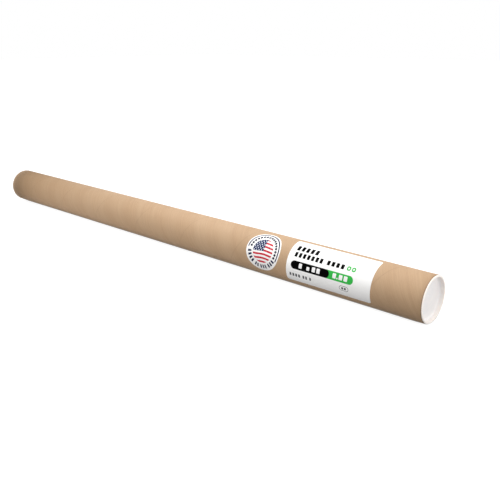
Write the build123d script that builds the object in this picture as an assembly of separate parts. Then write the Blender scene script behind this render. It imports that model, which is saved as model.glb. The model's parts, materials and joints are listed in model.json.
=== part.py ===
from build123d import *
from math import cos, degrees, pi, radians, sin, tan
import os

# A kraft board mailing tube that lies along X on the plane z = 0. A moulded plug closes
# each end, and a rectangular paper label and a round paper sticker are on its front.
# Lengths are in millimetres. A place round the tube is an angle in degrees, counted from
# the front (-Y) up towards the top (+Z). The near end is the one at +X.

# Board tube, wound in a spiral and cut square
bore_diameter = 76.2
wall = 2.032
tube_length = 1219.2
cut_edge_break = 0.2

# End plug, one moulding that is used at both ends
flange_thickness = 1.6
flange_setback = 0.4
flange_corner = 0.4
recess_depth = 8.5
recess_draft = 1.5
recess_floor_chamfer = 1.5
plug_wall = 1.0
plug_floor = 1.3
lead_in = 0.9
bead_count = 2
bead_height = 0.45
bead_base = 1.4
bead_crest = 0.4
bead_clearance = 0.05

# Gate mark in the floor of the plug's recess, off the plug's centre
gate_across = -3.4
gate_up = 7.9
gate_radius = 1.5
gate_depth = 0.3

# Paper on the tube: both pieces have the same stock and lie on a film of glue
paper_thickness = 0.1
glue_film = 0.02
label_length = 172.0
label_height = 85.0
label_corner_radius = 4.0
label_to_near_end = 89.3
label_middle_angle = 27.6
sticker_diameter = 78.0
sticker_to_label = 19.3
sticker_middle_angle = 26.4
sticker_outline_arcs = 12

# Sizes that follow from those above
bore_radius = bore_diameter / 2
tube_radius = bore_radius + wall
near_end = tube_length / 2
far_end = -near_end
paper_inner_radius = tube_radius + glue_film
paper_outer_radius = paper_inner_radius + paper_thickness
label_near_edge = near_end - label_to_near_end
label_far_edge = label_near_edge - label_length
sticker_middle = label_far_edge - sticker_to_label - sticker_diameter / 2

tube_axis = Axis((0, 0, tube_radius), (1, 0, 0))


def outward(angle):
    """The direction that points straight out of the tube at an angle round it."""
    return Vector(0, -cos(radians(angle)), sin(radians(angle)))


def ring(outer_radius, inner_radius, low, high):
    """A plain pipe round the tube's axis, from x = low to x = high."""
    start = Plane((low, 0, tube_radius), x_dir=(0, 1, 0), z_dir=(1, 0, 0))
    return extrude(start * (Circle(outer_radius) - Circle(inner_radius)), high - low)


def corner_at(section, point):
    """The corner of the flat section that is nearest to the given point."""
    return section.vertices().sort_by_distance(point)[:1]


def make_board_tube():
    """The tube, with the sharp corners of its two cut ends broken."""
    tube = ring(tube_radius, bore_radius, far_end, near_end)
    return chamfer(tube.edges().filter_by(GeomType.CIRCLE), cut_edge_break)


def bead_section(skirt_radius):
    """One grip bead, rooted a little inside the skirt's surface so that the two join."""
    root = skirt_radius - plug_wall / 2
    crest = skirt_radius + bead_height
    return make_face(
        Polyline(
            (root, -bead_base / 2),
            (skirt_radius, -bead_base / 2),
            (crest, -bead_crest / 2),
            (crest, bead_crest / 2),
            (skirt_radius, bead_base / 2),
            (root, bead_base / 2),
            close=True,
        )
    )


def make_end_plug():
    """The plug in its own frame: the flange sits on z = 0 and the cup goes down from it."""
    flange_radius = tube_radius - flange_setback
    skirt_radius = bore_radius - bead_clearance - bead_height
    mouth_radius = skirt_radius - plug_wall
    floor_radius = mouth_radius - recess_depth * tan(radians(recess_draft))
    floor_height = flange_thickness - recess_depth
    skirt_end = floor_height - plug_floor
    straight_end = skirt_end + lead_in

    section = make_face(
        Polyline(
            (0, floor_height),
            (floor_radius, floor_height),
            (mouth_radius, flange_thickness),
            (flange_radius, flange_thickness),
            (flange_radius, 0),
            (skirt_radius, 0),
            (skirt_radius, straight_end),
            (skirt_radius - lead_in, skirt_end),
            (0, skirt_end),
            close=True,
        )
    )
    section = chamfer(corner_at(section, (floor_radius, floor_height)), recess_floor_chamfer)
    section = chamfer(corner_at(section, (flange_radius, flange_thickness)), flange_corner)
    bead_pitch = straight_end / (bead_count + 1)
    for number in range(1, bead_count + 1):
        section += Pos(0, number * bead_pitch) * bead_section(skirt_radius)

    plug = revolve(Plane.XZ * section, Axis.Z)
    gate = Pos(gate_across, gate_up, floor_height) * Cylinder(gate_radius, 2 * gate_depth)
    return plug - gate


def place_end_plug(plug, end, outward_x):
    """The plug turned to face out of one end of the tube and seated on that end."""
    seat = Plane((end, 0, tube_radius), x_dir=(0, outward_x, 0), z_dir=(outward_x, 0, 0))
    return seat * plug


def facing(x, angle):
    """A plane through the tube's axis at x that faces straight out at an angle round it."""
    return Plane((x, 0, tube_radius), x_dir=(1, 0, 0), z_dir=outward(angle))


def make_paper_label():
    """The label: a strip turned round the tube's axis, with its four corners cut round."""
    half_length = label_length / 2
    half_turn = degrees(label_height / tube_radius) / 2
    middle = label_far_edge + half_length
    first_edge = outward(label_middle_angle - half_turn)
    first_middle = Vector(middle, 0, tube_radius)
    first_middle += first_edge * (paper_inner_radius + paper_outer_radius) / 2
    across = Plane(first_middle, x_dir=(1, 0, 0), z_dir=first_edge.cross(Vector(1, 0, 0)))
    strip = across * Rectangle(label_length, paper_thickness)
    label = revolve(strip, tube_axis.reverse(), 2 * half_turn)

    corner_turn = half_turn - degrees(label_corner_radius / tube_radius)
    size = 2 * label_corner_radius
    for end in (-1, 1):
        for side in (-1, 1):
            waste = Pos(end * label_corner_radius, side * label_corner_radius) * Rectangle(size, size)
            waste -= Circle(label_corner_radius)
            corner = facing(
                middle + end * (half_length - label_corner_radius),
                label_middle_angle + side * corner_turn,
            )
            label -= extrude(corner * waste, 2 * tube_radius)
    return label


def sticker_edge_point(turn):
    """A point of the wrapped disc's edge, as it shows from straight in front of the disc."""
    disc_radius = sticker_diameter / 2
    climb = disc_radius * sin(turn) / tube_radius
    return (disc_radius * cos(turn), tube_radius * sin(climb))


def make_round_sticker():
    """The sticker: a flat disc wrapped on the tube, cut from a thin pipe by its outline."""
    step = 2 * pi / sticker_outline_arcs
    outline = []
    for number in range(sticker_outline_arcs):
        turns = (number * step, (number + 0.5) * step, (number + 1) * step)
        outline.append(ThreePointArc(*[sticker_edge_point(turn) for turn in turns]))
    disc = facing(sticker_middle, sticker_middle_angle) * make_face(outline)
    low = sticker_middle - sticker_diameter
    high = sticker_middle + sticker_diameter
    pipe = ring(paper_outer_radius, paper_inner_radius, low, high)
    return pipe & extrude(disc, 2 * tube_radius)


end_plug = make_end_plug()
pieces = {
    "board_tube": make_board_tube(),
    "near_end_plug": place_end_plug(end_plug, near_end, 1),
    "far_end_plug": place_end_plug(end_plug, far_end, -1),
    "paper_label": make_paper_label(),
    "round_sticker": make_round_sticker(),
}
os.makedirs("parts", exist_ok=True)
for name, piece in pieces.items():
    export_step(piece, f"parts/{name}.step")
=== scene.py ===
import json
import math

import bpy
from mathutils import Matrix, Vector


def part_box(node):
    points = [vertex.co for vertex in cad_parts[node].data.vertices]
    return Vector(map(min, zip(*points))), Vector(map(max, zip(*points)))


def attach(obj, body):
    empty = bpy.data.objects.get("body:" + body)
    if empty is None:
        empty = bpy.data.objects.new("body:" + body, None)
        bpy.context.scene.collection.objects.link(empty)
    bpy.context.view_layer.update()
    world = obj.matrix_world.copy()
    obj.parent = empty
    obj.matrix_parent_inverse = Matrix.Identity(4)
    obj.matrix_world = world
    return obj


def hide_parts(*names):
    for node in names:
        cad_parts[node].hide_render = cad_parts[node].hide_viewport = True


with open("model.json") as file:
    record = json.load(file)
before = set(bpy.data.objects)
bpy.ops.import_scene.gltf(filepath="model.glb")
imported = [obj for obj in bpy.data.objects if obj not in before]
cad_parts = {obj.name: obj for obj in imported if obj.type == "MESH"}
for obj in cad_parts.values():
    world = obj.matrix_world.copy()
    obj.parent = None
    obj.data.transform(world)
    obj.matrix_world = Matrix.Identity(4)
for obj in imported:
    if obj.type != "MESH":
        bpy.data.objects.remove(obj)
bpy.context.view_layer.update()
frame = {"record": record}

# Lengths are in metres. The tube lies along X on the floor z = 0 and its labelled end is at +X.
# A place round the tube is an angle counted from the front (-Y) up towards the top (+Z).
# Print, grain and the other patterns inside the materials are laid out in millimetres.
MM = 0.001

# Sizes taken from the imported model
outside = frame["record"]["mounts"][0]["dims"]["r_mm"] * MM
axis_height = outside
near_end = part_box("board_tube")[1].x
far_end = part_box("board_tube")[0].x
label_low_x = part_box("paper_label")[0].x
label_high_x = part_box("paper_label")[1].x
sticker_low_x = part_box("round_sticker")[0].x
sticker_high_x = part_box("round_sticker")[1].x

# Board tube
wall = 2.032 * MM
bore_radius = outside - wall
cut_edge_break = 0.2 * MM
tube_sides = 192
tube_steps = 32

# End plug
flange_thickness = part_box("near_end_plug")[1].x - near_end
flange_setback = 0.4 * MM
flange_radius = outside - flange_setback
bead_clearance = 0.05 * MM
bead_height = 0.45 * MM
bead_base = 1.4 * MM
bead_count = 2
skirt_radius = bore_radius - bead_clearance - bead_height
recess_depth = 8.5 * MM
recess_draft = math.radians(1.5)
plug_wall = 1.0 * MM
plug_floor = 1.3 * MM
lead_in = 0.9 * MM
plug_sides = 160

# Roundings of the plug's edges
recess_floor_rounding = 3.0 * MM
mouth_rounding = 0.4 * MM
flange_front_rounding = 0.4 * MM
flange_back_rounding = 0.15 * MM
bead_rounding = 0.35 * MM
lead_in_rounding = 0.3 * MM

# Gate mark in the recess floor, and the nub of the broken-off gate
gate_across = -3.4 * MM
gate_up = 7.9 * MM
gate_radius = 1.5 * MM
gate_depth = 0.3 * MM
gate_rounding = 0.2 * MM
gate_sides = 32
nub_radius = 0.55 * MM
nub_rounding = 0.1 * MM
nub_sides = 16

# Modelling: an edge that turns by more than sharp_edge is bevelled, points nearer than
# merge_distance become one, and a ring of edges is found to within ring_tolerance
sharp_edge = math.radians(60)
merge_distance = 0.001 * MM
ring_tolerance = 0.01 * MM

# Paper on the tube
paper_thickness = 0.1 * MM
glue_film = 0.02 * MM
paper_inner_radius = outside + glue_film
label_length = label_high_x - label_low_x
label_height = 85.0 * MM
label_corner = 4.0 * MM
label_corner_steps = 10
label_middle_x = (label_low_x + label_high_x) / 2
label_middle_angle = math.radians(27.6)
sticker_diameter = sticker_high_x - sticker_low_x
sticker_sides = 144
sticker_middle_x = (sticker_low_x + sticker_high_x) / 2
sticker_middle_angle = math.radians(26.4)
sheet_strips = 48

# Winding of the plies
ply_pitch = 147.0 * MM
ply_width = 127.0 * MM

# Board's surface, in millimetres. A pair is the stretch over which a mark comes up: across the
# seam, from a cut end, or from the bore's wall. The swell is a few faint rings near a cut end.
fibre_width = 0.35
fibre_length = 5.0
streak_width = 4.0
streak_length = 80.0
seam_stretch = (0.35, 0.1)
lap_stretch = (2.4, 0.6)
swell_start = 1.2
swell_spacing = 1.4
swell_stretch = (0.2, 1.2)
swell_end = (9.0, 7.0)
# The next two stretches carry painted shade: the board darkens towards each cut end, most in its last
# millimetres beside the plug's flange
end_shade_stretch = (9.0, 1.0)
rim_shade_stretch = (1.5, 0.6)
frayed_stretch = (1.0, 0.2)
bore_stretch = (0.15, 0.05)
cut_face_depth = 0.15
ply_thickness = 0.42

# Plug's surface, in millimetres: the flow lines round the gate, and where the flange's painted light,
# a brighter and warmer white, starts
flow_spacing = 5.0
flow_sway = 14.0
flange_light_stretch = (1.3, 0.9)

# Depth of each surface's relief
board_relief = 0.06 * MM
plastic_relief = 0.03 * MM
paper_relief = 0.012 * MM

# Print on both papers: half the width over which an edge fades
ink_edge = 0.12

# Rim of the sticker, in millimetres from its middle. The line's reach is in degrees from the top.
# A row of blocks has its start and end in degrees from the bottom, and how many it has.
line_radius = 35.2
line_half_width = 1.2
line_reach = (-88, 115)
blocks_radius = 30.4
blocks_half_height = 4.1
blocks_rows = ((-86, -37, 4), (-31, -12, 2), (-8, 24, 3), (29, 65, 3))

# Stars of the sticker, in millimetres: a star's notches are at a share of its radius
star_notch = 0.7
ring_radius = 29.1
ring_star_radius = 3.0
ring_stars = 17
ring_start = math.radians(-80)
ring_pitch = math.radians(187) / (ring_stars - 1)
field_star_radius = 1.5
column_pitch = 5.8

# Cloth in the sticker's middle, in millimetres: cloth_fade is half the width of its edges' fade
cloth_radius = 23.0
stripe_count = 13
stripe = 2 * cloth_radius / stripe_count
wave_length = 46.0
wave_height = 0.9
wave_shift = 8.0
field_edge = 2.0
field_stripes = 7
field_low = cloth_radius - field_stripes * stripe
cloth_fade = 0.1

# Studio
floor_size = 24.0
shade_radius = 0.18
shade_opening = 0.05
shade_sides = 64

# Stretches over which the floor's masks come up, in millimetres along the tube and beside it, and
# the shares that some of them reach. All but the glow's are masks of painted shade
beside_rise = (-450.0, 400.0)
beside_fall = (760.0, 660.0)
before_end_rise = (480.0, 560.0)
before_end_fall = (720.0, 630.0)
close_beside = (80.0, 25.0)
close_along = (-300.0, 100.0)
close_share = (0.45, 0.75)
contact_shadow_beside = (13.5, 9.0)
contact_shadow_end = (610.0, 585.0)
contact_shadow_share = 0.85
glow_distance = (500.0, 2500.0)
glow_share = (0.93, 0.97)

# Lamps: place and aim, size, spread in degrees and power in watts
lamps = {
    "overhead_lamp": ((0.45, 0, 1.1), (0.45, 0, 0), (0.9, 0.5), 180, 2.3),
    "middle_lamp": ((-0.35, 0.05, 1.3), (-0.3, 0, 0), (1.2, 0.4), 180, 2.8),
    "gloss_lamp": ((-0.8, 0, 1.3), (0.4, 0, 0.08), (0.8, 0.4), 50, 0.9),
    "near_end_lamp": ((2.5, -0.2, 0.75), (0.6, 0, 0), (0.9, 0.9), 180, 11.0),
    "far_end_lamp": ((-1.1, -0.95, 0.4), (-0.5, 0, 0), (0.8, 0.5), 180, 1.8),
}

# Camera, fitted to the tube's outline in the photograph
camera_place = (0.9915, -0.8592, 0.4254)
camera_tilt = math.radians(71.283)
camera_turn = math.radians(41.668)
camera_lens = 44.815
camera_sensor = 36


# Modelling steps

def deselect():
    """Nothing stays selected, so that the next operator acts on new geometry alone."""
    bpy.ops.object.select_all(action="DESELECT")


def take_shape(name):
    """Names the new primitive and moves its place into its mesh."""
    piece = bpy.context.object
    piece.name = name
    piece.data.name = name
    bpy.ops.object.transform_apply(location=True, rotation=True, scale=True)
    return piece


def select_points(piece, chosen):
    """Selects, in edit mode, the points whose place passes a test."""
    bpy.ops.mesh.select_mode(type="VERT")
    bpy.ops.mesh.select_all(action="DESELECT")
    bpy.ops.object.mode_set(mode="OBJECT")
    for point in piece.data.vertices:
        point.select = chosen(point.co)
    bpy.ops.object.mode_set(mode="EDIT")


def finish_modifier(piece, kind, **settings):
    """Adds one modifier with its settings and applies it."""
    modifier = piece.modifiers.new(kind.lower(), kind)
    for key, value in settings.items():
        setattr(modifier, key, value)
    bpy.context.view_layer.objects.active = piece
    bpy.ops.object.modifier_apply(modifier=modifier.name)


def smooth(piece, degrees):
    """Shades a piece smooth, with sharp edges where its faces turn by more than an angle."""
    deselect()
    piece.select_set(True)
    bpy.context.view_layer.objects.active = piece
    bpy.ops.object.shade_smooth_by_angle(angle=math.radians(degrees))


# Pieces

def make_kraft_tube():
    """A ring at the far end drawn out along the tube, given its wall and broken cut edges."""
    deselect()
    bpy.ops.mesh.primitive_circle_add(
        vertices=tube_sides,
        radius=outside,
        location=(far_end, 0, axis_height),
        rotation=(0, math.pi / 2, 0),
    )
    tube = take_shape("kraft_tube")
    bpy.ops.object.mode_set(mode="EDIT")
    bpy.ops.mesh.select_all(action="SELECT")
    step = (near_end - far_end) / tube_steps
    for _ in range(tube_steps):
        bpy.ops.mesh.extrude_region_move(TRANSFORM_OT_translate={"value": (step, 0, 0)})
    bpy.ops.mesh.select_all(action="SELECT")
    bpy.ops.mesh.normals_make_consistent(inside=False)
    bpy.ops.object.mode_set(mode="OBJECT")
    finish_modifier(tube, "SOLIDIFY", thickness=wall, offset=-1, use_even_offset=True)
    finish_modifier(tube, "BEVEL", width=cut_edge_break, segments=2, angle_limit=sharp_edge)
    smooth(tube, degrees=40)
    return tube


def make_plug(name, end, outward):
    """A disc at the recess floor, drawn out ring by ring into the cup, the flange and the skirt."""
    mouth_radius = skirt_radius - plug_wall
    floor_radius = mouth_radius - recess_depth * math.tan(recess_draft)
    floor_at = flange_thickness - recess_depth
    skirt_end = floor_at - plug_floor
    straight_end = skirt_end + lead_in

    deselect()
    bpy.ops.mesh.primitive_circle_add(
        vertices=plug_sides,
        radius=floor_radius,
        fill_type="NGON",
        location=(end + outward * floor_at, 0, axis_height),
        rotation=(0, math.pi / 2, 0),
    )
    plug = take_shape(name)

    bead_pitch = straight_end / (bead_count + 1)
    skirt = []
    for number in range(1, bead_count + 1):
        middle = number * bead_pitch
        skirt.append((middle + bead_base / 2, skirt_radius))
        skirt.append((middle, skirt_radius + bead_height))
        skirt.append((middle - bead_base / 2, skirt_radius))
    rings = [
        (flange_thickness, mouth_radius),
        (flange_thickness, flange_radius),
        (0, flange_radius),
        (0, skirt_radius),
        *skirt,
        (straight_end, skirt_radius),
        (skirt_end, skirt_radius - lead_in),
        (skirt_end, floor_radius / 2),
    ]
    bpy.ops.object.mode_set(mode="EDIT")
    bpy.ops.mesh.select_all(action="SELECT")
    bpy.ops.mesh.region_to_loop()
    at, radius = floor_at, floor_radius
    for next_at, next_radius in rings:
        move = (outward * (next_at - at), 0, 0)
        bpy.ops.mesh.extrude_edges_move(TRANSFORM_OT_translate={"value": move})
        share = next_radius / radius
        bpy.ops.transform.resize(value=(1, share, share), center_override=(0, 0, axis_height))
        at, radius = next_at, next_radius
    bpy.ops.mesh.edge_face_add()
    bpy.ops.mesh.select_all(action="SELECT")
    bpy.ops.mesh.remove_doubles(threshold=merge_distance)
    bpy.ops.mesh.normals_make_consistent(inside=False)

    def soften(at, radius, width, segments):
        """Rounds the one ring of edges at a place on the section."""
        x = end + outward * at

        def on_ring(place):
            distance = math.hypot(place.y, place.z - axis_height)
            return max(abs(place.x - x), abs(distance - radius)) < ring_tolerance

        select_points(plug, on_ring)
        bpy.ops.mesh.bevel(offset=width, segments=segments, profile=0.5, affect="EDGES")

    soften(floor_at, floor_radius, recess_floor_rounding, 8)
    soften(flange_thickness, mouth_radius, mouth_rounding, 4)
    soften(flange_thickness, flange_radius, flange_front_rounding, 4)
    soften(0, flange_radius, flange_back_rounding, 2)
    for number in range(1, bead_count + 1):
        soften(number * bead_pitch, skirt_radius + bead_height, bead_rounding, 4)
    soften(straight_end, skirt_radius, lead_in_rounding, 2)
    soften(skirt_end, skirt_radius - lead_in, lead_in_rounding, 2)
    bpy.ops.object.mode_set(mode="OBJECT")
    add_gate_mark(plug, end + outward * floor_at, outward)
    smooth(plug, degrees=30)
    return plug


def add_gate_mark(plug, floor_x, outward):
    """A shallow round dimple in the recess floor with the broken-off gate standing in it."""
    place = (floor_x, outward * gate_across, axis_height + gate_up)
    deselect()
    bpy.ops.mesh.primitive_cylinder_add(
        vertices=gate_sides,
        radius=gate_radius,
        depth=2 * gate_depth,
        location=place,
        rotation=(0, math.pi / 2, 0),
    )
    dimple = take_shape("dimple_cutter")
    finish_modifier(dimple, "BEVEL", width=gate_rounding, segments=3, angle_limit=sharp_edge)
    finish_modifier(plug, "BOOLEAN", operation="DIFFERENCE", solver="EXACT", object=dimple)
    bpy.data.objects.remove(dimple)

    deselect()
    bpy.ops.mesh.primitive_cylinder_add(
        vertices=nub_sides,
        radius=nub_radius,
        depth=2 * gate_depth,
        location=(floor_x - outward * gate_depth, place[1], place[2]),
        rotation=(0, math.pi / 2, 0),
    )
    nub = take_shape("gate_nub")
    finish_modifier(nub, "BEVEL", width=nub_rounding, segments=2, angle_limit=sharp_edge)
    finish_modifier(plug, "BOOLEAN", operation="UNION", solver="EXACT", object=nub)
    bpy.data.objects.remove(nub)


def wrap_round_tube(sheet, height, middle_x, middle_angle):
    """Cuts a flat sheet in the XZ plane into strips, gives it its thickness and bends it round the tube."""
    bpy.ops.object.mode_set(mode="EDIT")
    for number in range(1, sheet_strips):
        bpy.ops.mesh.select_all(action="SELECT")
        level = height * (number / sheet_strips - 0.5)
        bpy.ops.mesh.bisect(plane_co=(0, 0, level), plane_no=(0, 0, 1))
    bpy.ops.object.mode_set(mode="OBJECT")
    finish_modifier(sheet, "SOLIDIFY", thickness=paper_thickness, offset=1)
    finish_modifier(
        sheet,
        "SIMPLE_DEFORM",
        deform_method="BEND",
        deform_axis="X",
        angle=height / paper_inner_radius,
    )
    sheet.location = (0, -paper_inner_radius, 0)
    bpy.ops.object.transform_apply(location=True, rotation=True, scale=True)
    sheet.location = (middle_x, 0, axis_height)
    sheet.rotation_euler = (-middle_angle, 0, 0)
    bpy.ops.object.transform_apply(location=True, rotation=True, scale=True)
    smooth(sheet, degrees=30)


def make_label():
    """A flat sheet with four round corners, wrapped on the tube."""
    deselect()
    bpy.ops.mesh.primitive_plane_add(size=1, rotation=(math.pi / 2, 0, 0))
    label = take_shape("label_sheet")
    bpy.ops.object.mode_set(mode="EDIT")
    bpy.ops.mesh.select_all(action="SELECT")
    bpy.ops.transform.resize(value=(label_length, 1, label_height))
    bpy.ops.mesh.bevel(offset=label_corner, segments=label_corner_steps, profile=0.5, affect="VERTICES")
    bpy.ops.object.mode_set(mode="OBJECT")
    wrap_round_tube(label, label_height, label_middle_x, label_middle_angle)
    return label


def make_sticker():
    """A flat disc wrapped on the tube."""
    deselect()
    bpy.ops.mesh.primitive_circle_add(
        vertices=sticker_sides,
        radius=sticker_diameter / 2,
        fill_type="NGON",
        rotation=(math.pi / 2, 0, 0),
    )
    sticker = take_shape("sticker_disc")
    wrap_round_tube(sticker, sticker_diameter, sticker_middle_x, sticker_middle_angle)
    return sticker


# Node trees

class Graph:
    """A node tree, with short ways to add a node and to feed its sockets."""

    def __init__(self, tree):
        self.tree = tree

    def feed(self, socket, value):
        """Links a socket to another one, or gives it a plain value."""
        if isinstance(value, bpy.types.NodeSocket):
            self.tree.links.new(value, socket)
        else:
            socket.default_value = value

    def add(self, kind, inputs=None, **settings):
        """Adds a node with its settings and feeds the inputs that are named or numbered."""
        node = self.tree.nodes.new(kind)
        for key, value in settings.items():
            setattr(node, key, value)
        for key, value in (inputs or {}).items():
            self.feed(node.inputs[key], value)
        return node

    def calc(self, operation, *values, clamp=False):
        """One step of arithmetic."""
        numbered = dict(enumerate(values))
        return self.add("ShaderNodeMath", numbered, operation=operation, use_clamp=clamp).outputs[0]

    def plus(self, first, second):
        return self.calc("ADD", first, second)

    def minus(self, first, second):
        return self.calc("SUBTRACT", first, second)

    def times(self, first, second):
        return self.calc("MULTIPLY", first, second)

    def over(self, first, second):
        return self.calc("DIVIDE", first, second)

    def distance(self, across, up):
        """How far a place is from the point where both its coordinates are 0."""
        squares = self.plus(self.calc("POWER", across, 2.0), self.calc("POWER", up, 2.0))
        return self.calc("SQRT", squares)

    def ramp(self, value, low, high, out_low=0.0, out_high=1.0):
        """A value between low and high turned into one between two others, and held there."""
        inputs = {
            "Value": value,
            "From Min": low,
            "From Max": high,
            "To Min": out_low,
            "To Max": out_high,
        }
        node = self.add("ShaderNodeMapRange", inputs, interpolation_type="SMOOTHSTEP")
        return node.outputs["Result"]

    def mix(self, factor, first, second):
        """The second colour laid over the first by a mask."""
        node = self.add("ShaderNodeMix", data_type="RGBA")
        self.feed(node.inputs[0], factor)
        self.feed(node.inputs[6], first)
        self.feed(node.inputs[7], second)
        return node.outputs[2]

    def lay(self, first, second, mask, strength):
        """The second colour laid over the first by a share of a mask."""
        return self.mix(self.times(mask, strength), first, second)

    def noise(self, place, scale, detail=2.0, roughness=0.5):
        """Smooth noise between 0 and 1 at a place."""
        inputs = {"Vector": place, "Scale": scale, "Detail": detail, "Roughness": roughness}
        return self.add("ShaderNodeTexNoise", inputs).outputs[0]

    def group(self, shared, inputs):
        """Places one of the shared groups and returns its outputs."""
        node = self.add("ShaderNodeGroup", node_tree=shared)
        for key, value in inputs.items():
            self.feed(node.inputs[key], value)
        return node.outputs


def new_group(name, inputs, outputs):
    """An empty group with named sockets, and its graph, inputs and outputs."""
    tree = bpy.data.node_groups.new(name, "ShaderNodeTree")
    for key, default in inputs.items():
        kind = "NodeSocketVector" if default is None else "NodeSocketFloat"
        socket = tree.interface.new_socket(key, in_out="INPUT", socket_type=kind)
        if default is not None:
            socket.default_value = default
    for key in outputs:
        kind = "NodeSocketVector" if key == "Place" else "NodeSocketFloat"
        tree.interface.new_socket(key, in_out="OUTPUT", socket_type=kind)
    graph = Graph(tree)
    return tree, graph, graph.add("NodeGroupInput").outputs, graph.add("NodeGroupOutput").inputs


def build_tube_coordinates():
    """Millimetres along the tube and round it from a middle, and the distance from its axis."""
    inputs = {"Middle X": 0.0, "Middle Angle": 0.0}
    tree, graph, given, result = new_group("tube coordinates", inputs, ("Along", "Around", "From Axis"))
    place = graph.add("ShaderNodeTexCoord").outputs["Object"]
    x, y, z = graph.add("ShaderNodeSeparateXYZ", {"Vector": place}).outputs
    along = graph.minus(x, given["Middle X"])
    up = graph.minus(z, axis_height)
    front = graph.times(y, -1.0)
    angle = graph.minus(graph.calc("ARCTAN2", up, front), given["Middle Angle"])
    graph.feed(result["Along"], graph.over(along, MM))
    graph.feed(result["Around"], graph.times(angle, outside / MM))
    graph.feed(result["From Axis"], graph.over(graph.distance(up, front), MM))
    return tree


def build_winding_place():
    """A place in millimetres, turned along the tube so that what runs along X runs with the plies."""
    tree, graph, given, result = new_group("winding place", {"Pitch": ply_pitch}, ("Place",))
    place = graph.add("ShaderNodeTexCoord").outputs["Object"]
    x = graph.add("ShaderNodeSeparateXYZ", {"Vector": place}).outputs["X"]
    turn = graph.times(graph.over(x, given["Pitch"]), -2 * math.pi)
    inputs = {"Vector": place, "Center": (0, 0, axis_height), "Angle": turn}
    wound = graph.add("ShaderNodeVectorRotate", inputs, rotation_type="X_AXIS").outputs[0]
    scaled = graph.add("ShaderNodeVectorMath", {0: wound, "Scale": 1 / MM}, operation="SCALE")
    graph.feed(result["Place"], scaled.outputs[0])
    return tree


def build_paper_fibres():
    """Fibres of paper: a tone and a height, from noise drawn out along X."""
    inputs = {"Place": None, "Width": 0.3, "Length": 4.0}
    tree, graph, given, result = new_group("paper fibres", inputs, ("Tone", "Height"))
    x, y, z = graph.add("ShaderNodeSeparateXYZ", {"Vector": given["Place"]}).outputs
    parts = {
        0: graph.over(x, given["Length"]),
        1: graph.over(y, given["Width"]),
        2: graph.over(z, given["Width"]),
    }
    drawn = graph.add("ShaderNodeCombineXYZ", parts).outputs[0]
    tone = graph.noise(drawn, scale=1.0, detail=3.0, roughness=0.6)
    fine = graph.noise(drawn, scale=2.7, detail=2.0)
    graph.feed(result["Tone"], graph.ramp(tone, 0.3, 0.7))
    graph.feed(result["Height"], graph.plus(tone, graph.times(fine, 0.5)))
    return tree


def build_scuffs():
    """Short rubbed marks, thicker or thinner over the surface by their amount."""
    inputs = {"Place": None, "Size": 6.0, "Amount": 0.5}
    tree, graph, given, result = new_group("scuffs", inputs, ("Mask",))
    small = graph.add("ShaderNodeVectorMath", {0: given["Place"]}, operation="SCALE")
    graph.feed(small.inputs["Scale"], graph.over(1.0, given["Size"]))
    patches = graph.ramp(graph.noise(small.outputs[0], scale=0.35, detail=1.0), 0.5, 0.75)
    marks = graph.noise(small.outputs[0], scale=1.6, detail=6.0, roughness=0.7)
    edge = graph.minus(0.8, graph.times(given["Amount"], 0.3))
    worn = graph.ramp(marks, edge, graph.plus(edge, 0.08))
    graph.feed(result["Mask"], graph.times(worn, patches))
    return tree


def build_printed_blocks():
    """Blocks with round corners in a row from Left to Right, solid or, by the width Line, in outline."""
    inputs = {
        "Along": 0.0,
        "Around": 0.0,
        "Left": 0.0,
        "Right": 10.0,
        "Bottom": 0.0,
        "Top": 5.0,
        "Blocks": 1.0,
        "Fill": 1.0,
        "Corner": 0.5,
        "Line": 0.0,
    }
    tree, graph, given, result = new_group("printed blocks", inputs, ("Mask",))
    pitch = graph.over(graph.minus(given["Right"], given["Left"]), given["Blocks"])
    from_left = graph.minus(given["Along"], given["Left"])
    within = graph.calc("FRACT", graph.over(from_left, pitch))
    across = graph.times(graph.minus(within, 0.5), pitch)
    half_width = graph.times(graph.times(pitch, given["Fill"]), 0.5)
    half_height = graph.times(graph.minus(given["Top"], given["Bottom"]), 0.5)
    middle = graph.plus(given["Bottom"], half_height)
    upwards = graph.minus(given["Around"], middle)

    beyond = []
    for offset, half in ((across, half_width), (upwards, half_height)):
        straight = graph.minus(half, given["Corner"])
        over = graph.minus(graph.calc("ABSOLUTE", offset), straight)
        beyond.append(graph.calc("POWER", graph.calc("MAXIMUM", over, 0.0), 2.0))
    distance = graph.calc("SQRT", graph.plus(*beyond))
    distance = graph.minus(distance, given["Corner"])

    solid = graph.ramp(distance, ink_edge, -ink_edge)
    inner = graph.ramp(graph.plus(distance, given["Line"]), ink_edge, -ink_edge)
    hollow = graph.times(inner, graph.calc("GREATER_THAN", given["Line"], 0.0))
    inside_row = graph.times(
        graph.calc("GREATER_THAN", given["Along"], given["Left"]),
        graph.calc("LESS_THAN", given["Along"], given["Right"]),
    )
    shape = graph.calc("SUBTRACT", solid, hollow, clamp=True)
    graph.feed(result["Mask"], graph.times(shape, inside_row))
    return tree


def build_star():
    """A star with five points at the middle of its two coordinates."""
    tree, graph, given, result = new_group("star", {"U": 0.0, "V": 0.0, "Radius": 1.5}, ("Mask",))
    fifth = 2 * math.pi / 5
    away = graph.distance(given["U"], given["V"])
    turn = graph.calc("PINGPONG", graph.calc("ARCTAN2", given["U"], given["V"]), fifth / 2)
    ahead = graph.times(away, graph.calc("COSINE", turn))
    aside = graph.times(away, graph.calc("SINE", turn))
    notch_ahead = star_notch * math.cos(fifth / 2)
    notch_aside = star_notch * math.sin(fifth / 2)
    side_length = math.hypot(1 - notch_ahead, notch_aside)
    short = graph.minus(given["Radius"], ahead)
    cover = graph.minus(
        graph.times(short, notch_aside / side_length),
        graph.times(aside, (1 - notch_ahead) / side_length),
    )
    graph.feed(result["Mask"], graph.ramp(cover, -ink_edge, ink_edge))
    return tree


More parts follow.
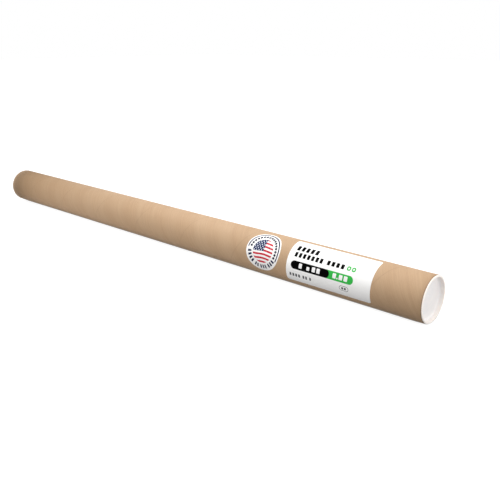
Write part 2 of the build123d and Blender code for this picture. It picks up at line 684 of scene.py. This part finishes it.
tube_coordinates = build_tube_coordinates()
winding_place = build_winding_place()
paper_fibres = build_paper_fibres()
scuffs = build_scuffs()
printed_blocks = build_printed_blocks()
star = build_star()


# Materials

def tint(red, green, blue):
    """A colour as it shows on screen, from 0 to 255, as the linear colour that a shader takes."""
    linear = []
    for value in (red / 255, green / 255, blue / 255):
        linear.append(value / 12.92 if value <= 0.04045 else ((value + 0.055) / 1.055) ** 2.4)
    return (*linear, 1.0)


def row_of(left, right, bottom, top, **look):
    """A row of print by its ends, its levels and how its blocks look."""
    return {"Left": left, "Right": right, "Bottom": bottom, "Top": top, **look}


# Colours, as they show on screen
kraft_light = tint(190, 158, 124)
kraft_dark = tint(171, 139, 107)
kraft_brown = tint(156, 125, 93)
kraft_pale = tint(202, 174, 143)
# Deepest brown: the seam and the plies' glue lines, and the painted shade beside the plug's flange
kraft_joint_and_painted_shade = tint(120, 92, 66)
board_grey = tint(172, 158, 140)
plastic_white = tint(244, 240, 238)
plastic_flange_painted_light = tint(255, 246, 238)
plastic_milky = tint(240, 236, 235)
plastic_cool = tint(226, 228, 230)
plastic_rubbed = tint(214, 212, 210)
paper_white = tint(253, 253, 252)
paper_fibre = tint(249, 248, 247)
paper_rubbed = tint(226, 224, 220)
ink_black = tint(4, 4, 4)
ink_grey = tint(92, 92, 96)
ink_green = tint(58, 184, 78)
ink_white = tint(250, 250, 250)
ink_slate = tint(40, 46, 76)
ink_navy = tint(18, 20, 48)
ink_field = tint(30, 38, 84)
ink_pale = tint(232, 240, 250)
ink_red = tint(200, 58, 70)

# Light that the floor throws back: far from the tube, beside it, before its labelled end and
# close to it, and the floor's own tone where it is seen. Beside, before the end and close to the tube
# it is darker, as painted shade on the tube's lower side
floor_far = ((0.64, 0.63, 0.62, 1), (0.68, 0.67, 0.66, 1))
floor_beside_painted_shade = (0.36, 0.36, 0.36, 1)
floor_before_end_painted_shade = (0.17, 0.17, 0.17, 1)
floor_close_painted_shade = (0.08, 0.09, 0.11, 1)
floor_seen = (0.30, 0.30, 0.30, 1)

# Surround: the colour of its light, and its strength as light and as the white that is seen
surround_light = (1.0, 0.99, 0.985, 1)
surround_strength = (0.9, 1.0)
white_light = (1, 1, 1, 1)

# Card of the shade ring
shade_black = (0.02, 0.02, 0.02, 1)

# Print on the label: each row's ink, its ends and levels from the label's lower left corner, and
# its blocks. A row without Blocks has one, and a row with Line is an outline of that width.
label_print = (
    (ink_black, row_of(9.5, 58.5, 59.6, 70.2, Corner=1.0, Blocks=5, Fill=0.66)),
    (ink_black, row_of(11, 73.5, 47.2, 56.2, Corner=1.0, Blocks=7, Fill=0.64)),
    (ink_black, row_of(79.5, 117, 47.6, 56.2, Corner=1.0, Blocks=4, Fill=0.64)),
    (ink_green, row_of(120, 139, 47.8, 55.8, Corner=3.0, Blocks=2, Fill=0.78, Line=2.3)),
    (ink_grey, row_of(6.5, 32, 11.2, 17.2, Corner=0.8, Blocks=4, Fill=0.62)),
    (ink_grey, row_of(35.5, 47, 11.2, 17.2, Corner=0.8, Blocks=2, Fill=0.62)),
    (ink_grey, row_of(50.5, 55, 11.2, 17.2, Corner=0.8, Fill=0.8)),
    (ink_grey, row_of(112.6, 130.8, 10.8, 20.2, Corner=4.7, Line=0.8)),
    (ink_grey, row_of(116.5, 127, 13.4, 17.6, Corner=0.8, Blocks=2, Fill=0.7)),
    (ink_green, row_of(75, 138.6, 25.4, 40.3, Corner=7.4)),
    (ink_black, row_of(9.8, 91, 25.4, 40.3, Corner=7.4)),
    (ink_white, row_of(26, 35.5, 28.9, 37.6, Corner=1.2, Fill=0.7)),
    (ink_white, row_of(43.2, 51.2, 28.9, 35.4, Corner=1.2, Fill=0.76)),
    (ink_white, row_of(54, 73.5, 28.9, 37.6, Corner=1.2, Blocks=2, Fill=0.7)),
    (ink_white, row_of(97, 106.5, 28.9, 37.6, Corner=1.2, Fill=0.72)),
    (ink_white, row_of(106.6, 109.2, 28.7, 31.4, Corner=1.2)),
    (ink_white, row_of(109.5, 129, 28.9, 37.6, Corner=1.2, Blocks=2, Fill=0.72)),
)


def start_material(name):
    """A material with a Principled shader, its graph and the shader's inputs."""
    material = bpy.data.materials.new(name)
    material.use_nodes = True
    graph = Graph(material.node_tree)
    graph.tree.nodes.clear()
    shader = graph.add("ShaderNodeBsdfPrincipled")
    output = graph.add("ShaderNodeOutputMaterial")
    graph.feed(output.inputs["Surface"], shader.outputs[0])
    return material, graph, shader.inputs


def place_in_mm(graph):
    """The place on a piece in millimetres."""
    place = graph.add("ShaderNodeTexCoord").outputs["Object"]
    return graph.add("ShaderNodeVectorMath", {0: place, "Scale": 1 / MM}, operation="SCALE").outputs[0]


def raise_surface(graph, shader, height, depth):
    """A relief of a depth in metres from a height of about 0 to 1."""
    inputs = {"Height": height, "Distance": depth, "Strength": 1.0}
    graph.feed(shader["Normal"], graph.add("ShaderNodeBump", inputs).outputs[0])


def set_roughness(graph, shader, tone, least, most):
    """A roughness between two values, by the fibres' tone."""
    graph.feed(shader["Roughness"], graph.ramp(tone, 0.0, 1.0, least, most))


def distance_from_seam(graph, spot):
    """Millimetres from the spiral seam between two turns of the outer ply."""
    turns = graph.over(spot["Around"], 2 * math.pi * outside / MM)
    pitches = graph.over(spot["Along"], ply_pitch / MM)
    place_in_ply = graph.calc("FRACT", graph.minus(pitches, turns))
    from_middle = graph.calc("ABSOLUTE", graph.minus(place_in_ply, 0.5))
    return graph.times(from_middle, ply_width / MM)


def make_kraft():
    """Kraft board: fibres along the plies, a spiral seam, painted shade towards the ends and the plies on
    the cut edges.
    """
    material, graph, shader = start_material("kraft_board")
    wound = graph.group(winding_place, {"Pitch": ply_pitch})["Place"]
    fibres = graph.group(paper_fibres, {"Place": wound, "Width": fibre_width, "Length": fibre_length})
    streaks = graph.group(paper_fibres, {"Place": wound, "Width": streak_width, "Length": streak_length})
    cloud = graph.noise(wound, scale=0.011, detail=3.0)
    spot = graph.group(tube_coordinates, {"Middle X": 0.0, "Middle Angle": 0.0})

    colour = graph.lay(kraft_light, kraft_dark, fibres["Tone"], strength=0.5)
    colour = graph.lay(colour, kraft_brown, streaks["Tone"], strength=0.28)
    colour = graph.mix(graph.ramp(cloud, 0.35, 0.7, 0.0, 0.22), colour, kraft_pale)

    from_seam = distance_from_seam(graph, spot)
    seam = graph.ramp(from_seam, *seam_stretch)
    lap = graph.ramp(from_seam, *lap_stretch)
    colour = graph.lay(colour, kraft_brown, lap, strength=0.08)
    colour = graph.lay(colour, kraft_joint_and_painted_shade, seam, strength=0.3)

    from_end = graph.minus(near_end / MM, graph.calc("ABSOLUTE", spot["Along"]))
    swell = graph.calc("PINGPONG", graph.minus(from_end, swell_start), swell_spacing)
    swell = graph.times(graph.ramp(swell, *swell_stretch), graph.ramp(from_end, *swell_end))
    colour = graph.lay(colour, kraft_brown, swell, strength=0.08)
    marks = graph.group(scuffs, {"Place": wound, "Size": 7.0, "Amount": 0.6})["Mask"]
    colour = graph.lay(colour, kraft_pale, marks, strength=0.3)
    # Painted shade: darker towards each cut end, and darkest in the last millimetres beside the plug's
    # flange
    colour = graph.mix(graph.ramp(from_end, *end_shade_stretch, 0.0, 0.22), colour, kraft_brown)
    colour = graph.mix(graph.ramp(from_end, *rim_shade_stretch, 0.0, 0.75), colour, kraft_joint_and_painted_shade)
    frayed = graph.times(graph.ramp(from_end, *frayed_stretch), fibres["Tone"])
    colour = graph.lay(colour, kraft_pale, frayed, strength=0.3)

    from_bore = graph.minus(spot["From Axis"], bore_radius / MM)
    bore_side = graph.ramp(from_bore, *bore_stretch)
    colour = graph.lay(colour, board_grey, bore_side, strength=0.75)
    cut_face = graph.calc("LESS_THAN", from_end, cut_face_depth)
    ply = graph.calc("PINGPONG", graph.over(spot["From Axis"], ply_thickness), 0.5)
    glue_line = graph.times(graph.ramp(ply, 0.36, 0.46), cut_face)
    colour = graph.lay(colour, kraft_joint_and_painted_shade, glue_line, strength=0.5)

    graph.feed(shader["Base Color"], colour)
    set_roughness(graph, shader, fibres["Tone"], least=0.64, most=0.74)
    shader["Specular IOR Level"].default_value = 0.42
    height = graph.plus(fibres["Height"], graph.times(streaks["Height"], 0.6))
    height = graph.minus(height, graph.times(seam, 1.6))
    height = graph.plus(height, graph.times(swell, 0.8))
    height = graph.minus(height, graph.times(glue_line, 0.8))
    raise_surface(graph, shader, height, board_relief)
    return material


def make_white_plastic():
    """Moulded polyethylene: milky, with a fine mould grain, flow round the gate, a flange painted brighter
    as painted light, and a few scuffs.
    """
    material, graph, shader = start_material("white_plastic")
    place = place_in_mm(graph)
    split = graph.add("ShaderNodeSeparateXYZ", {"Vector": place}).outputs
    across = graph.minus(graph.calc("ABSOLUTE", split["Y"]), abs(gate_across) / MM)
    up = graph.minus(split["Z"], (axis_height + gate_up) / MM)
    away = graph.distance(across, up)
    wavy = graph.plus(away, graph.times(graph.noise(place, scale=0.08), flow_sway))
    flow = graph.ramp(graph.calc("PINGPONG", wavy, flow_spacing), 0.0, flow_spacing)
    cloud = graph.noise(place, scale=0.05, detail=3.0)
    grain = graph.noise(place, scale=2.2, detail=3.0)
    marks = graph.group(scuffs, {"Place": place, "Size": 5.0, "Amount": 0.7})["Mask"]

    colour = graph.mix(graph.ramp(cloud, 0.3, 0.7), plastic_white, plastic_milky)
    colour = graph.lay(colour, plastic_cool, flow, strength=0.15)
    spot = graph.group(tube_coordinates, {"Middle X": 0.0, "Middle Angle": 0.0})
    # Painted light: the flange is painted a brighter, warmer white than the cup and its recess
    inside_skirt = graph.minus(skirt_radius / MM, spot["From Axis"])
    flange = graph.ramp(inside_skirt, *flange_light_stretch)
    colour = graph.mix(flange, colour, plastic_flange_painted_light)
    colour = graph.lay(colour, plastic_rubbed, marks, strength=0.3)
    graph.feed(shader["Base Color"], colour)
    rough = graph.ramp(grain, 0.3, 0.7, 0.38, 0.5)
    graph.feed(shader["Roughness"], graph.plus(rough, graph.times(marks, 0.2)))
    shader["IOR"].default_value = 1.51
    shader["Subsurface Weight"].default_value = 0.2
    shader["Subsurface Radius"].default_value = (1.0, 0.8, 0.7)
    shader["Subsurface Scale"].default_value = 1.5 * MM
    height = graph.plus(grain, graph.times(flow, 0.4))
    raise_surface(graph, shader, height, plastic_relief)
    return material


def paper_stock(graph, shader, marks_amount):
    """White coated paper: the fibres' tone and relief, and a few scuffs."""
    place = place_in_mm(graph)
    fibres = graph.group(paper_fibres, {"Place": place, "Width": 0.25, "Length": 1.5})
    marks = graph.group(scuffs, {"Place": place, "Size": 5.0, "Amount": marks_amount})["Mask"]
    colour = graph.lay(paper_white, paper_fibre, fibres["Tone"], strength=0.6)
    colour = graph.lay(colour, paper_rubbed, marks, strength=0.35)
    raise_surface(graph, shader, fibres["Height"], paper_relief)
    shader["Specular IOR Level"].default_value = 0.01
    return colour, fibres["Tone"]


def lay_blocks(graph, colour, ink, spot, **row):
    """Prints one row of blocks over a colour, with the row's ends, levels and blocks as given."""
    inputs = {"Along": spot[0], "Around": spot[1], **row}
    return graph.mix(graph.group(printed_blocks, inputs)["Mask"], colour, ink)


def make_label_paper():
    """The label: rows of plain blocks where a label carries its words, and a two-coloured capsule."""
    material, graph, shader = start_material("label_paper")
    colour, tone = paper_stock(graph, shader, 0.4)
    middle = {"Middle X": label_middle_x, "Middle Angle": label_middle_angle}
    place = graph.group(tube_coordinates, middle)
    spot = (
        graph.plus(place["Along"], label_length / MM / 2),
        graph.plus(place["Around"], label_height / MM / 2),
    )
    for ink, row in label_print:
        colour = lay_blocks(graph, colour, ink, spot, **row)

    graph.feed(shader["Base Color"], colour)
    set_roughness(graph, shader, tone, least=0.42, most=0.52)
    return material


def lay_arc(graph, colour, away, angle, radius, reach, half_height, **row):
    """Prints a row of blocks bent to an arc of a radius, from one angle to another."""
    spot = (graph.times(angle, radius), graph.minus(away, radius))
    left, right = (math.radians(degrees) * radius for degrees in reach)
    ends = {"Left": left, "Right": right, "Bottom": -half_height, "Top": half_height}
    return lay_blocks(graph, colour, ink_slate, spot, **ends, **row)


def lay_star_ring(graph, colour, away, from_top):
    """Prints the part ring of stars round the cloth."""
    steps = graph.over(graph.minus(from_top, ring_start), ring_pitch)
    within = graph.minus(graph.calc("FRACT", graph.plus(steps, 0.5)), 0.5)
    star_spot = {
        "U": graph.times(within, ring_pitch * ring_radius),
        "V": graph.minus(away, ring_radius),
        "Radius": ring_star_radius,
    }
    ring = graph.group(star, star_spot)["Mask"]
    ring = graph.times(ring, graph.calc("GREATER_THAN", steps, -0.5))
    ring = graph.times(ring, graph.calc("LESS_THAN", steps, ring_stars - 0.5))
    return graph.mix(ring, colour, ink_navy)


def waving_cloth(graph, right, up):
    """Red and white stripes that wave, with a dark field of small pale stars in one corner."""
    wave = graph.calc("SINE", graph.times(graph.plus(right, wave_shift), 2 * math.pi / wave_length))
    lift = graph.minus(up, graph.times(wave, wave_height))
    count = graph.over(graph.minus(cloth_radius, lift), stripe)
    red = graph.calc("PINGPONG", graph.plus(count, 0.5), 1.0)
    cloth = graph.mix(graph.ramp(red, 0.47, 0.53), ink_white, ink_red)

    row = graph.over(graph.minus(lift, field_low), stripe)
    odd = graph.times(graph.calc("FLOORED_MODULO", graph.calc("FLOOR", row), 2.0), 0.5)
    column = graph.plus(graph.over(right, column_pitch), odd)
    star_spot = {
        "U": graph.times(graph.minus(graph.calc("FRACT", column), 0.5), column_pitch),
        "V": graph.times(graph.minus(graph.calc("FRACT", row), 0.5), stripe),
        "Radius": field_star_radius,
    }
    field = graph.mix(graph.group(star, star_spot)["Mask"], ink_field, ink_pale)
    corner = graph.times(
        graph.ramp(right, field_edge + cloth_fade, field_edge - cloth_fade),
        graph.ramp(lift, field_low - cloth_fade, field_low + cloth_fade),
    )
    return graph.mix(corner, cloth, field)


def make_sticker_paper():
    """The sticker: a disc of waving cloth, a part ring of stars, a thin line and a row of blocks."""
    material, graph, shader = start_material("sticker_paper")
    colour, tone = paper_stock(graph, shader, 0.3)
    middle = {"Middle X": sticker_middle_x, "Middle Angle": sticker_middle_angle}
    place = graph.group(tube_coordinates, middle)
    right, up = place["Along"], place["Around"]
    away = graph.distance(right, up)
    from_top = graph.calc("ARCTAN2", right, up)
    from_bottom = graph.calc("ARCTAN2", right, graph.times(up, -1.0))

    colour = lay_arc(graph, colour, away, from_top, line_radius, line_reach, line_half_width, Corner=1.0)
    for start, end, blocks in blocks_rows:
        row = {"Blocks": blocks, "Fill": 0.58, "Corner": 0.8}
        reach = (start, end)
        colour = lay_arc(graph, colour, away, from_bottom, blocks_radius, reach, blocks_half_height, **row)
    colour = lay_star_ring(graph, colour, away, from_top)
    inside = graph.ramp(away, cloth_radius + cloth_fade, cloth_radius - cloth_fade)
    colour = graph.mix(inside, colour, waving_cloth(graph, right, up))

    graph.feed(shader["Base Color"], colour)
    set_roughness(graph, shader, tone, least=0.36, most=0.46)
    return material


def finish_piece(piece, material, body, node):
    """Gives a piece its material and the body it moves with, and hides the solid it stands for."""
    piece.data.materials.clear()
    piece.data.materials.append(material)
    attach(piece, body)
    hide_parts(node)


# Stage, light and camera

def rays_that_see_white(graph):
    """1 for the rays that show the white background: the camera's, glossy ones and those through glass."""
    rays = graph.add("ShaderNodeLightPath").outputs
    seen = graph.calc("MAXIMUM", rays["Is Camera Ray"], rays["Is Glossy Ray"])
    return graph.calc("MAXIMUM", seen, rays["Is Transmission Ray"])


def light_thrown_back(graph, place, x, aside):
    """The floor's colour for the light it throws back, which is less near the tube: painted shade for the
    tube's lower side.
    """
    light = graph.mix(graph.noise(place, scale=0.002), *floor_far)
    # Painted shade: the floor throws back less light beside the tube's labelled half, before its labelled
    # end and close to it
    beside_shade = graph.times(graph.ramp(x, *beside_rise), graph.ramp(x, *beside_fall))
    light = graph.mix(beside_shade, light, floor_beside_painted_shade)
    before_end_shade = graph.times(graph.ramp(x, *before_end_rise), graph.ramp(x, *before_end_fall))
    light = graph.mix(before_end_shade, light, floor_before_end_painted_shade)
    close_shade = graph.times(graph.ramp(aside, *close_beside), graph.ramp(x, *close_along, *close_share))
    return graph.mix(close_shade, light, floor_close_painted_shade)


def floor_glow(graph, place, x, aside):
    """How bright the white floor shows: a little less near the middle, with a painted contact shadow where
    the tube stands.
    """
    away = graph.add("ShaderNodeVectorMath", {0: place}, operation="LENGTH").outputs["Value"]
    glow = graph.ramp(away, *glow_distance, *glow_share)
    along = graph.calc("ABSOLUTE", x)
    # Painted shade: a dark contact shadow in the floor's glow, under the tube
    painted_contact_shadow = graph.times(graph.ramp(aside, *contact_shadow_beside), graph.ramp(along, *contact_shadow_end))
    return graph.times(glow, graph.minus(1.0, graph.times(painted_contact_shadow, contact_shadow_share)))


def make_floor():
    """A pale floor that shows as white, and throws back only part of the light."""
    deselect()
    bpy.ops.mesh.primitive_plane_add(size=floor_size, location=(0, 0, 0))
    floor = take_shape("studio_floor")
    material, graph, shader = start_material("floor_paper")
    place = place_in_mm(graph)
    split = graph.add("ShaderNodeSeparateXYZ", {"Vector": place}).outputs
    x = split["X"]
    aside = graph.calc("ABSOLUTE", split["Y"])
    seen = rays_that_see_white(graph)
    light = light_thrown_back(graph, place, x, aside)
    graph.feed(shader["Base Color"], graph.mix(seen, light, floor_seen))
    shader["Roughness"].default_value = 0.9
    shader["Specular IOR Level"].default_value = 0.1
    shader["Emission Color"].default_value = white_light
    graph.feed(shader["Emission Strength"], graph.times(seen, floor_glow(graph, place, x, aside)))
    floor.data.materials.append(material)


def make_shade_ring():
    """A dark ring round the far end, out of the camera's sight, that keeps some light off that end."""
    deselect()
    bpy.ops.mesh.primitive_circle_add(
        vertices=shade_sides,
        radius=shade_radius,
        location=(far_end, 0, axis_height),
        rotation=(0, math.pi / 2, 0),
    )
    ring = take_shape("shade_ring")
    bpy.ops.object.mode_set(mode="EDIT")
    bpy.ops.mesh.select_all(action="SELECT")
    bpy.ops.mesh.extrude_edges_move()
    share = shade_opening / shade_radius
    bpy.ops.transform.resize(value=(1, share, share), center_override=(0, 0, axis_height))
    bpy.ops.object.mode_set(mode="OBJECT")
    material, _, shader = start_material("shade_card")
    shader["Base Color"].default_value = shade_black
    shader["Roughness"].default_value = 0.9
    ring.data.materials.append(material)
    ring.visible_camera = False


def hang_lamps():
    """Lamps over the tube, one for its gloss and one for each end."""
    for name, (place, aim, size, spread, power) in lamps.items():
        deselect()
        bpy.ops.object.light_add(type="AREA", location=place)
        lamp = bpy.context.object
        lamp.name = name
        lamp.data.shape = "RECTANGLE"
        lamp.data.size, lamp.data.size_y = size
        lamp.data.energy = power
        lamp.data.spread = math.radians(spread)
        direction = Vector(aim) - Vector(place)
        lamp.rotation_euler = direction.to_track_quat("-Z", "Y").to_euler()


def make_surround():
    """An even pale light from all round, which shows as white."""
    world = bpy.data.worlds.new("studio_surround")
    bpy.context.scene.world = world
    world.use_nodes = True
    graph = Graph(world.node_tree)
    graph.tree.nodes.clear()
    seen = rays_that_see_white(graph)
    surround = graph.add("ShaderNodeBackground")
    graph.feed(surround.inputs["Color"], graph.mix(seen, surround_light, white_light))
    graph.feed(surround.inputs["Strength"], graph.ramp(seen, 0.0, 1.0, *surround_strength))
    output = graph.add("ShaderNodeOutputWorld")
    graph.feed(output.inputs["Surface"], surround.outputs[0])


def place_camera():
    """The photograph's view: level, in front of the labelled end and a little above it."""
    bpy.ops.object.camera_add(location=camera_place, rotation=(camera_tilt, 0, camera_turn))
    camera = bpy.context.object
    camera.name = "photo_camera"
    camera.data.sensor_width = camera_sensor
    camera.data.lens = camera_lens
    bpy.context.scene.camera = camera


kraft_tube = make_kraft_tube()
near_plug = make_plug("near_plug_moulding", near_end, 1)
far_plug = make_plug("far_plug_moulding", far_end, -1)
label = make_label()
sticker = make_sticker()

kraft_board = make_kraft()
white_plastic = make_white_plastic()
finish_piece(kraft_tube, kraft_board, "tube", "board_tube")
finish_piece(near_plug, white_plastic, "near_plug", "near_end_plug")
finish_piece(far_plug, white_plastic, "far_plug", "far_end_plug")
finish_piece(label, make_label_paper(), "tube", "paper_label")
finish_piece(sticker, make_sticker_paper(), "tube", "round_sticker")

make_floor()
make_shade_ring()
hang_lamps()
make_surround()
place_camera()
bpy.context.scene.view_settings.view_transform = "Standard"
